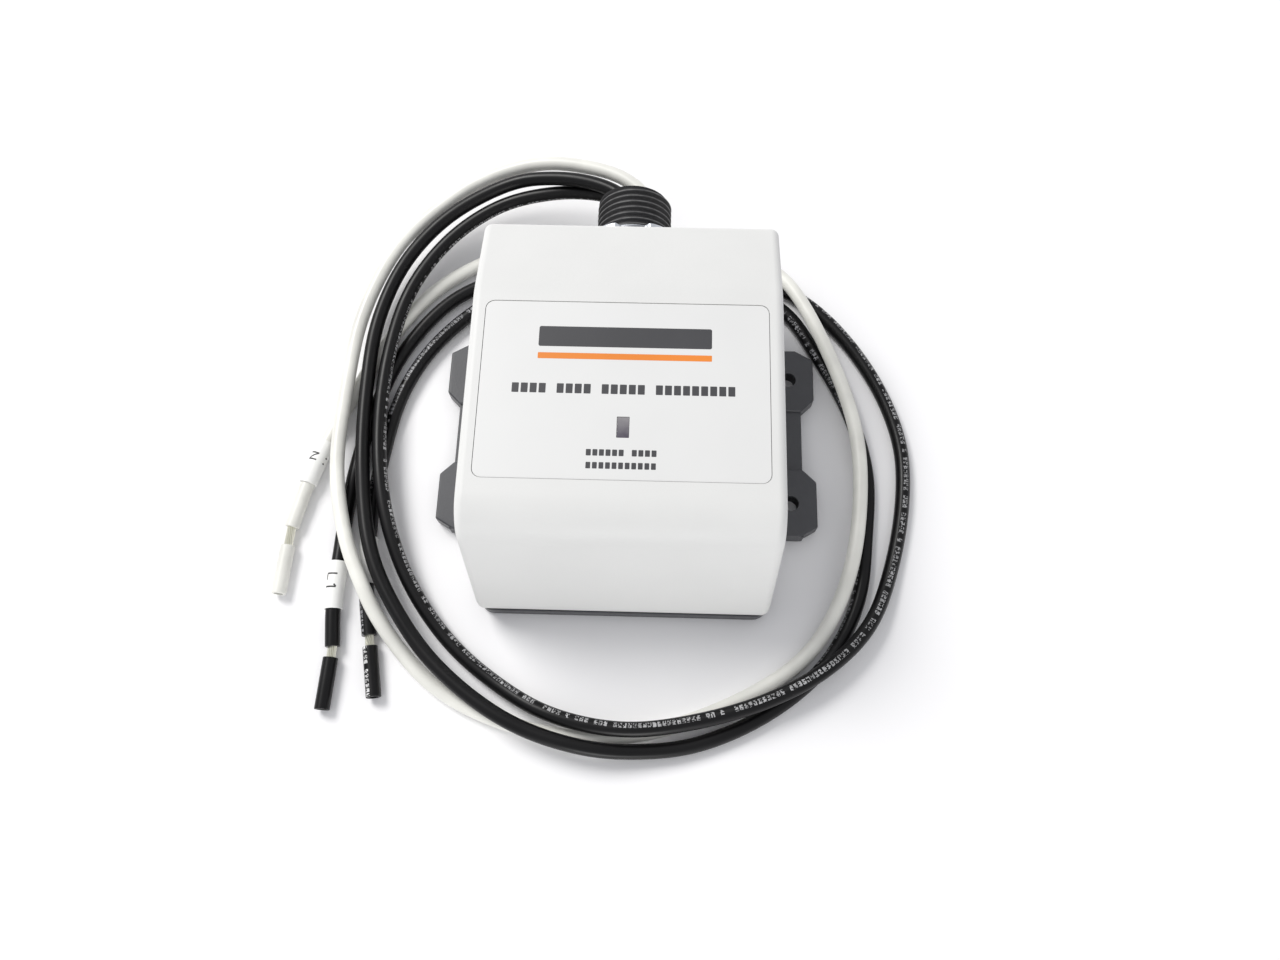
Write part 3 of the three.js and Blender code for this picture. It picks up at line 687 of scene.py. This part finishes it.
def on_lead(rings, distance, around, radius):
    """The point at a distance along a lead, and a way round it from the top to its left."""
    index = next(i for i, ring in enumerate(rings) if ring[3] >= distance)
    low, high = rings[index - 1], rings[index]
    share = (distance - low[3]) / (high[3] - low[3])
    point, side, up = [low[i].lerp(high[i], share) for i in range(3)]
    angle = around / SLEEVE_OUTER
    return point + (up * math.cos(angle) + side * math.sin(angle)) * radius


def mark_stroke(name, first, last, shift, rings, start):
    """One thin printed stroke laid on the sleeve's round."""
    first, last = Vector(first), Vector(last)
    way = (last - first).normalized()
    across = Vector((-way.y, way.x)) * MARK_WIDTH / 2
    count = max(2, math.ceil((last - first).length / 0.3))
    points, faces = [], []
    for i in range(count + 1):
        centre = first.lerp(last, i / count)
        for flat, radius in ((-1, -0.03), (1, -0.03), (1, 0.015), (-1, 0.015)):
            up, along = centre + across * flat
            points.append(on_lead(rings, start + along, shift - up, SLEEVE_OUTER + radius))
    for i in range(count):
        for k in range(4):
            a, b = 4 * i + k, 4 * i + (k + 1) % 4
            faces.append((a, b, b + 4, a + 4))
    faces += [(3, 2, 1, 0), tuple(4 * count + k for k in range(4))]
    obj = make_object(name, points, faces)
    fix_normals(obj)
    return obj


def sleeve_mark(name, line, start):
    shift, strokes = MARKS[name]
    rings = frames(line)
    pieces = [mark_stroke("stroke", first, last, shift, rings, start) for first, last in strokes]
    mark = paint(join(f"mark_{name}", pieces), MARK_INK)
    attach(mark, "housing")
    return mark


def make_lead(name):
    end = LEAD_ENDS[name]
    line = relax(smooth_line(ROUTES[name]))
    total = line_length(line)
    start_turn, end_turn = [math.radians(angle) for angle in end["legend"]]
    rings = frames(line, lambda d: start_turn + (end_turn - start_turn) * d / total)

    wire = swept(f"wire_{name}", rings, WIRE_RADIUS, WIRE_SIDES, wobble=0.03)
    shade(paint(wire, WIRES[name]))
    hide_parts(f"lead_{name}")
    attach(wire, "housing")

    last = total - end["sleeve_back"]
    on_sleeve = [ring for ring in rings if last - SLEEVE_LENGTH <= ring[3] <= last]
    sleeve = swept(f"sleeve_{name}", on_sleeve, SLEEVE_OUTER, 32, inner=SLEEVE_INNER, rim=0.08)
    shade(paint(sleeve, SLEEVE))
    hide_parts(f"marker_sleeve_{name}")
    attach(sleeve, "housing")

    if name in MARKS:
        sleeve_mark(name, line, last - SLEEVE_LENGTH)

    heading = Vector((*end["heading"], 0)).normalized()
    tip = Vector(ROUTES[name][-1])
    strands = strand_bundle(f"strands_{name}", tip - heading, heading, end["bare"] + IN_SLUG + 1)
    shade(paint(strands, STRANDS))
    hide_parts(f"bare_strands_{name}")
    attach(strands, "housing")

    slug_start = tip + heading * (end["bare"] + GAP)
    slug_rings = frames(straight_line(slug_start, heading, SLUG_LENGTH), lambda d: SLUG_TURN)
    slug = swept(f"slug_{name}", slug_rings, WIRE_RADIUS, WIRE_SIDES, inner=SLUG_BORE, wobble=0.04)
    shade(paint(slug, SLUGS[name]))
    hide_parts(f"strip_slug_{name}")
    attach(slug, f"slug_{name}")

    mouth = min(line[:20], key=lambda p: abs(p.y - NIPPLE_HIGH.y))


for lead in ROUTES:
    make_lead(lead)

# ---------------------------------------------------------------- front cover

COVER_PLASTIC = plain_surface("cover_plastic", (0.735, 0.735, 0.724), 0.5, 0.45, 0.03,
                              mottle=0.012).material


def from_side(y, z, x):
    """A point of a side profile, at a distance along X."""
    return (x, y, z)


def window_hole():
    """The solid that cuts the window's well out of the cover and the label."""
    return prism("window_hole", rectangle(*WINDOW_HOLE, 0, WINDOW_Y), COVER_TOP - WINDOW_DEPTH,
                 COVER_TOP + PAST)


def cover_moulding():
    """The shell: a side profile drawn across X, its sides rounded, hollow, open at the foot."""
    profile = rounded([
        (-COVER_END, COVER_FOOT, 0),
        (-COVER_END, BEND_Z, BEND_ROUND),
        (BROW_Y, COVER_TOP, BROW_ROUND),
        (CREST_Y, COVER_TOP, CREST_ROUND),
        (COVER_END, BRINK_Z, BRINK_ROUND),
        (COVER_END, COVER_FOOT, 0),
    ], 10)
    cover = prism("cover_moulding", profile, -COVER_SIDE, COVER_SIDE, from_side)
    bevel(cover, SIDE_ROUND, 6, 60)
    end, side = COVER_END - COVER_WALL, COVER_SIDE - COVER_WALL
    ceiling, below = COVER_TOP - COVER_WALL, COVER_FOOT - PAST
    hollow = prism("hollow", rounded([
        (-end, below, 0),
        (-end, BEND_Z, BEND_ROUND - INNER_TIGHTER),
        (BROW_Y + COVER_WALL * 0.85, ceiling, BROW_ROUND - INNER_TIGHTER),
        (CREST_Y, ceiling, CREST_ROUND - INNER_TIGHTER),
        (end, BRINK_Z - COVER_WALL * 0.8, INNER_BRINK_ROUND),
        (end, below, 0),
    ], 6), -side, side, from_side)
    recess = prism("recess", rectangle(*LABEL_RECESS, 0, LABEL_Y), COVER_TOP - RECESS_DEPTH,
                   COVER_TOP + PAST)
    outlet = prism("outlet", circle(NIPPLE_HOLE, 64), end - 2 * PAST / 3, COVER_END + PAST,
                   about_nipple)
    combine(cover, [hollow, recess, window_hole(), outlet], "DIFFERENCE")
    shade(cover)
    return cover


cover = paint(cover_moulding(), COVER_PLASTIC)
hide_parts("front_cover")
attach(cover, "housing")

# ---------------------------------------------------------------- label and window

LABEL_FILM = plain_surface("label_film", (0.75, 0.75, 0.743), 0.4, 0.8, 0.008,
                           mottle=0.008).material
GREY_INK = plain_surface("grey_ink", (0.045, 0.045, 0.05), 0.5, 0.4, 0.01, mottle=0.1).material
ORANGE_INK = plain_surface("orange_ink", (0.80, 0.23, 0.02), 0.45, 0.4, 0.01,
                           mottle=0.05).material
INK_THICK = 0.02  # above the label, and as much into it


def label_panel():
    panel = prism("label_sheet", rectangle(*LABEL_SHEET, 0, LABEL_Y), LABEL_LOW.z, LABEL_HIGH.z)
    bevel(panel, 0.12, 2)
    combine(panel, [window_hole()], "DIFFERENCE")
    shade(panel)
    return panel


label = paint(label_panel(), LABEL_FILM)
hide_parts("label_panel")
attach(label, "housing")


def ink_block(name, width, height, x, y, radius=0.25):
    low, high = LABEL_HIGH.z - INK_THICK, LABEL_HIGH.z + INK_THICK
    return prism(name, rectangle(width, height, radius, x, y), low, high)


def ink_line(name, widths, letter, gap, height, y):
    """A line of printed blocks in groups, as plain as a printer's dummy text."""
    pitch = letter + gap
    total = sum(widths) * pitch + (len(widths) - 1) * pitch
    x = -total / 2
    blocks = []
    for count in widths:
        for _ in range(count):
            block_name = f"{name}_{len(blocks)}"
            blocks.append(ink_block(block_name, letter, height, x + letter / 2, y, 0.15))
            x += pitch
        x += pitch
    return join(name, blocks)


def print_piece(obj, material):
    paint(obj, material)
    shade(obj)
    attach(obj, "housing")


print_piece(ink_block("print_bar", 42, 5.4, -0.2, 11, 0.5), GREY_INK)
print_piece(ink_block("print_stripe", 42, 1.6, -0.2, 5.8, 0.2), ORANGE_INK)
print_piece(ink_line("print_title", [4, 4, 5, 9], 1.65, 0.5, 2.5, -2.8), GREY_INK)
print_piece(ink_line("print_note_upper", [6, 4], 1.15, 0.38, 1.6, -19), GREY_INK)
print_piece(ink_line("print_note_lower", [11], 1.1, 0.42, 1.6, -22.2), GREY_INK)


def window_material():
    """Smoked plastic, lighter towards the upper edge where the well behind it is lit."""
    nodes = Nodes("window_plastic")
    _, y, _ = nodes.parts(nodes.place())
    height = nodes.spread(y, 0, 1, WINDOW_LOW.y * MM, WINDOW_HIGH.y * MM)
    cloud = nodes.noise(0.8 / MM, 2)
    uneven = nodes.math("MULTIPLY", nodes.math("SUBTRACT", cloud, 0.5), 0.4)
    depth = nodes.math("ADD", height, uneven, clamp=True)
    colour = nodes.blend(depth, (0.07, 0.06, 0.085, 1), (0.26, 0.25, 0.26, 1))
    nodes.shade(Base_Color=colour, Coat_Weight=0.6)
    nodes.shade(Roughness=nodes.spread(cloud, 0.12, 0.2), Normal=nodes.bump(cloud, 0.01))
    return nodes.material


def window_lens():
    lens = prism("window_glass", rectangle(*WINDOW_GLASS, 0, WINDOW_Y), WINDOW_LOW.z, WINDOW_HIGH.z)
    bevel(lens, 0.15, 3)
    shade(lens)
    return lens


lens = paint(window_lens(), window_material())
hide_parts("window_lens")
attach(lens, "housing")

# ---------------------------------------------------------------- base plate

BASE_PLASTIC = plain_surface("base_plastic", (0.06, 0.061, 0.067), 0.42, 0.5, 0.03,
                             mottle=0.1).material


def plate_outline():
    """The plate under the cover with the strips along both sides, as one outline."""
    lower, upper = STRIP_LOW_Y, STRIP_TOP_Y
    right = [(COVER_SIDE, -COVER_END, 4), (COVER_SIDE, lower, 0.6), (STRIP_X, lower, 0.6),
             (STRIP_X, upper, 0.6), (COVER_SIDE, upper, 0.6), (COVER_SIDE, COVER_END, 4)]
    left = [(-x, y, radius) for x, y, radius in reversed(right)]
    return rounded(right + left, 6)


def ear(side, inner, outer):
    away = 1 if outer > inner else -1
    root = side * (COVER_SIDE + GAP)
    return prism("ear", rounded([
        (root, outer, 0), (side * EAR_SHOULDER_X, outer, 0.5),
        (side * EAR_X, outer - away * EAR_OUTER_CUT, 0.5),
        (side * EAR_X, inner + away * EAR_INNER_CUT, 1),
        (side * STRIP_X, inner, 0.8), (root, inner, 0),
    ], 3), 0, EAR_TOP)


def upright(x, y, radius, low, high):
    return prism("rod", circle(radius, 40, x, y), low, high)


def base_moulding():
    """The plate and the four thicker ears. The ears' pads enclose the plate's strips."""
    sides = [-1, 1]
    plate = prism("base_moulding", plate_outline(), 0.05, BASE_THICK)
    bevel(plate, 0.3, 3, 40)
    pads = [ear(side, *span) for side in sides for span in EAR_SPANS]
    for piece in pads:
        bevel(piece, 0.5, 3, 40)
    for piece in [plate, *pads]:
        holes = [upright(side * EAR_HOLE_X, y, EAR_HOLE_RADIUS, -PAST, EAR_TOP + PAST)
                 for side in sides for y in EAR_HOLE_YS]
        if piece is plate:
            for x, y in BACK_SCREWS:
                holes.append(upright(x, y, SCREW_SINK_RADIUS, -PAST, SCREW_SINK_DEPTH))
                holes.append(upright(x, y, SCREW_HOLE_RADIUS, -PAST, BASE_THICK + PAST))
        combine(piece, holes, "DIFFERENCE")
    base = join("base_moulding", [plate, *pads])
    shade(base)
    return base


base = paint(base_moulding(), BASE_PLASTIC)
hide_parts("base_plate")
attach(base, "housing")

# ---------------------------------------------------------------- nipple, washer and locknut


def nipple_material():
    """Black moulding, paler in uneven patches on the thread crests."""
    nodes = Nodes("nipple_plastic")
    x, _, z = nodes.parts(nodes.place())
    height = nodes.math("SUBTRACT", z, AXIS_Z * MM)
    radius = nodes.math("SQRT", nodes.math("ADD", nodes.math("MULTIPLY", x, x),
                                           nodes.math("MULTIPLY", height, height)))
    crest = nodes.spread(radius, 0, 1, (THREAD_RADIUS - 0.16) * MM, (THREAD_RADIUS - 0.02) * MM)
    pale_crests = nodes.math("MULTIPLY", crest, nodes.spread(nodes.noise(0.5 / MM, 3), 0.35, 1.0))
    fine = nodes.noise(2.2 / MM, 2)
    colour = nodes.blend(pale_crests, (0.017, 0.0165, 0.018, 1), (0.16, 0.16, 0.16, 1))
    nodes.shade(Base_Color=colour, Normal=nodes.bump(fine, 0.015))
    nodes.shade(Roughness=nodes.spread(fine, 0.42, 0.56))
    return nodes.material


def thread_radius(y, angle, start, end):
    """The nipple's outer radius at a place on its right-hand thread, fading out at both ends."""
    phase = (y / THREAD_PITCH + angle / (2 * math.pi)) % 1.0
    ridge = min(1.0, max(0.0, (abs(phase - 0.5) * 2 - 0.12) / 0.76))
    depth = THREAD_DEPTH * (1 - ridge)
    chamfer = max(0.0, MOUTH_CHAMFER - (end - y)) * 0.5
    plain = max(0.0, min(1.0, (y - start) / THREAD_RUN_IN))
    return THREAD_RADIUS - depth * plain - chamfer


def nipple_moulding():
    sides, start, end = 96, THREAD_START, NIPPLE_HIGH.y
    rows = 150
    outside = [start + (end - start) * i / rows for i in range(rows + 1)]
    low = NIPPLE_LOW.y
    points, faces = [], []
    for k in range(sides):
        angle = 2 * math.pi * k / sides
        ring = [(NIPPLE_BORE, low), (THREAD_RADIUS, low), (THREAD_RADIUS, COLLAR_START),
                (COLLAR_RADIUS, COLLAR_START), (COLLAR_RADIUS, COLLAR_END)]
        ring += [(thread_radius(y, angle, start, end), y) for y in outside]
        ring += [(NIPPLE_BORE + MOUTH_CHAMFER, end), (NIPPLE_BORE, end - MOUTH_CHAMFER)]
        points += [about_nipple(r * math.cos(angle), r * math.sin(angle), y) for r, y in ring]
    count = len(points) // sides
    for k in range(sides):
        following = (k + 1) % sides
        for j in range(count):
            after = (j + 1) % count
            faces.append((k * count + j, k * count + after, following * count + after,
                          following * count + j))
    nipple = make_object("nipple_moulding", points, faces)
    fix_normals(nipple)
    shade(nipple, 50)
    return nipple


nipple = paint(nipple_moulding(), nipple_material())
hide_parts("conduit_nipple")
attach(nipple, "housing")

RUBBER = plain_surface("gasket_rubber", (0.012, 0.012, 0.013), 0.7, 0.35, 0.03,
                       mottle=0.15).material


def washer_ring():
    start, end = WASHER_LOW.y, WASHER_HIGH.y
    flat = WASHER_OUTER - WASHER_EDGE
    profile = [(WASHER_INNER, start), (flat, start), (WASHER_OUTER, start + WASHER_EDGE),
               (WASHER_OUTER, end - WASHER_EDGE), (flat, end), (WASHER_INNER, end)]
    ring = lathe("washer_ring", profile, 72, about_nipple)
    shade(ring)
    return ring


washer = paint(washer_ring(), RUBBER)
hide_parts("sealing_washer")
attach(washer, "washer")


def zinc_material():
    """Bright plating, with painted shade on the rim between the lugs."""
    nodes = Nodes("zinc_steel")
    slow = nodes.noise(0.4 / MM, 4)
    stretch = nodes.add("Mapping")
    nodes.link(nodes.place(), stretch.inputs["Vector"])
    stretch.inputs["Scale"].default_value = (1, 8, 1)
    brushed = nodes.noise(1.2 / MM, 3, stretch.outputs[0])
    plated = nodes.blend(nodes.spread(slow, 0, 1), (0.70, 0.73, 0.78, 1), (0.84, 0.86, 0.90, 1))
    x, y, z = nodes.parts(nodes.place())
    height = nodes.math("SUBTRACT", z, AXIS_Z * MM)
    radius = nodes.math("SQRT", nodes.math("ADD", nodes.math("MULTIPLY", x, x),
                                           nodes.math("MULTIPLY", height, height)))
    hollow = nodes.spread(radius, 1, 0, (NUT_RIM + 0.02) * MM, (NUT_RIM + 0.3) * MM)
    behind = nodes.spread(y, 1, 0, (NUT_HIGH.y - 0.5) * MM, (NUT_HIGH.y - 0.3) * MM)
    rim = nodes.spread(radius, 0, 1, (NUT_RIM - 0.8) * MM, (NUT_RIM - 0.3) * MM)
    # Painted shade: the rim between the lugs is darkened, all but a thin band at the nut's far
    # face.
    painted_rim_shade = nodes.math("MULTIPLY", nodes.math("MULTIPLY", hollow, behind), rim)
    nodes.shade(Base_Color=nodes.blend(painted_rim_shade, plated, (0.26, 0.265, 0.285, 1)), Metallic=1.0)
    nodes.shade(Normal=nodes.bump(brushed, 0.01), Roughness=nodes.spread(slow, 0.3, 0.42))
    return nodes.material


def locknut_ring():
    """A stamped ring: driving lugs round the rim, crowned face and a plain round bore."""
    outline = []
    for lug in range(0, 360, 60):
        crown = [(-11.5, NUT_LUG - 0.1), *[(turn, NUT_LUG) for turn in (-6, 0, 6)],
                 (11.5, NUT_LUG - 0.1)]
        for turn, radius in crown + [(turn, NUT_RIM) for turn in (14.5, 22, 30, 38, 45.5)]:
            angle = math.radians(lug + turn)
            outline.append((radius * math.cos(angle), radius * math.sin(angle)))
    ring = prism("locknut_ring", outline, NUT_LOW.y, NUT_HIGH.y, about_nipple)
    bore = prism("bore", circle(NUT_BORE, 72), NUT_LOW.y - PAST, NUT_HIGH.y + PAST, about_nipple)
    combine(ring, [bore], "DIFFERENCE")
    bevel(ring, 0.45, 3, 35)
    shade(ring)
    return ring


locknut = paint(locknut_ring(), zinc_material())
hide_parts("locknut")
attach(locknut, "locknut")

# ---------------------------------------------------------------- pieces kept from the CAD model

# Colour, roughness, metal, size and depth of the grain, for each slot of the kept pieces.
KEPT = {
    "gasket_rubber": ((0.012, 0.012, 0.013), 0.7, 0.0, 0.35, 0.03),
    "screw_steel": ((0.55, 0.56, 0.58), 0.3, 1.0, 0.4, 0.008),
    "light_pipe_plastic": ((0.62, 0.66, 0.68), 0.12, 0.0, 1.5, 0.01),
    "board_laminate": ((0.02, 0.16, 0.05), 0.35, 0.0, 0.7, 0.03),
    "varistor_coating": ((0.03, 0.13, 0.42), 0.4, 0.0, 0.9, 0.05),
    "ceramic_body": ((0.68, 0.64, 0.54), 0.6, 0.0, 0.3, 0.03),
    "capacitor_case": ((0.5, 0.24, 0.03), 0.35, 0.0, 0.8, 0.03),
    "diode_body": ((0.02, 0.02, 0.02), 0.45, 0.0, 0.3, 0.02),
    "led_epoxy": ((0.2, 0.6, 0.26), 0.12, 0.0, 1.2, 0.01),
    "terminal_brass": ((0.68, 0.5, 0.18), 0.3, 1.0, 0.5, 0.01),
    "black_wire_jacket": ((0.006, 0.006, 0.007), 0.35, 0.0, 0.6, 0.012),
    "white_wire_jacket": ((0.79, 0.785, 0.735), 0.4, 0.0, 0.6, 0.012),
}


def finish_kept_nodes():
    slots = {part["node"]: part["material_slot"] for part in frame["record"]["subparts"]}
    made = {}
    for name, obj in frame["nodes"].items():
        if obj.hide_render:
            continue
        slot = slots[name]
        if slot not in made:
            colour, roughness, metal, size, depth = KEPT[slot]
            surface = plain_surface("kept_" + slot, colour, roughness, size, depth, metal)
            made[slot] = surface.material
        paint(obj, made[slot])


finish_kept_nodes()

# ---------------------------------------------------------------- stage and light


def floor_material():
    nodes = Nodes("floor")
    slow = nodes.noise(4.0, 2)
    colour = nodes.blend(nodes.spread(slow, 0, 1), (0.95, 0.945, 0.955, 1), (0.97, 0.965, 0.975, 1))
    nodes.shade(Base_Color=colour, Roughness=0.9)
    return nodes.material


def make_floor():
    size = 3000
    points = [(-size, -size, 0), (size, -size, 0), (size, size, 0), (-size, size, 0)]
    floor = make_object("floor", points, [(0, 1, 2, 3)])
    paint(floor, floor_material())


def area_light(name, place, target, size, power, colour=(1, 1, 1)):
    light = bpy.data.lights.new(name, "AREA")
    light.shape = "DISK"
    light.size = size
    light.energy = power
    light.color = colour
    obj = bpy.data.objects.new(name, light)
    obj.location = place
    obj.rotation_mode = "QUATERNION"
    obj.rotation_quaternion = (Vector(target) - Vector(place)).to_track_quat("-Z", "Y")
    bpy.context.scene.collection.objects.link(obj)


def make_light():
    world = bpy.data.worlds.new("studio")
    world.use_nodes = True
    background = world.node_tree.nodes["Background"]
    background.inputs["Color"].default_value = (0.96, 0.97, 1.0, 1)
    background.inputs["Strength"].default_value = 0.59
    bpy.context.scene.world = world
    area_light("key", (-1.02, 0.88, 1.5), (0, 0, 0), 0.95, 29, (1.0, 0.99, 0.97))
    area_light("fill", (0, -1.2, 0.2), (0, 0, 0.02), 0.5, 4.6, (1.0, 1.0, 0.98))


make_floor()
make_light()
bpy.context.scene.view_settings.view_transform = "Standard"
